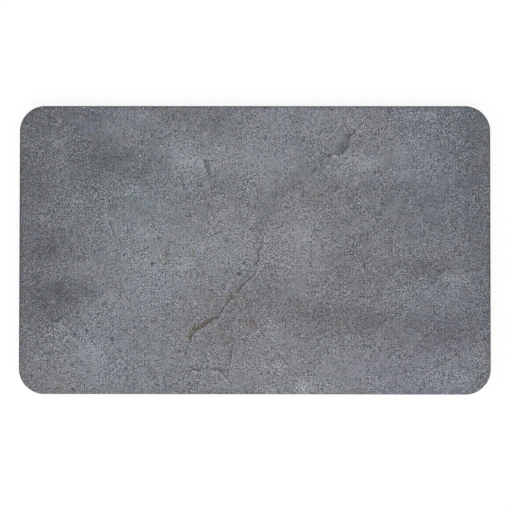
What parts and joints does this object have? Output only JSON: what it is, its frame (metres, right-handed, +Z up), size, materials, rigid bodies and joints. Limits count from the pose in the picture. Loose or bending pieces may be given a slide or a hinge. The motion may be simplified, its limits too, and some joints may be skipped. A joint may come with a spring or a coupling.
{
  "type": "serving tray",
  "caption": "Flat rectangular melamine serving tray with rounded corners, a downturned skirt, a stone-look decor skin and push-in rubber feet underneath.",
  "frame": {"origin": "on the table under the middle of the tray, at the plane of the feet", "axes": "+X along the long side, to the right in the picture; +Y towards the picture's upper edge; +Z up, out of the serving face"},
  "size_m": [0.53, 0.325, 0.02],
  "materials": {
    "melamine": "satin moulded melamine, dark grey",
    "decor_print": "matt printed stone decor under a clear melamine glaze, mid grey",
    "foot_rubber": "matt black rubber"
  },
  "bodies": {
    "root": {"tray_body": "melamine", "decor_skin": "decor_print", "foot_front_left": "foot_rubber", "foot_front_middle": "foot_rubber", "foot_front_right": "foot_rubber", "foot_rear_left": "foot_rubber", "foot_rear_middle": "foot_rubber", "foot_rear_right": "foot_rubber"}
  },
  "joints": []
}
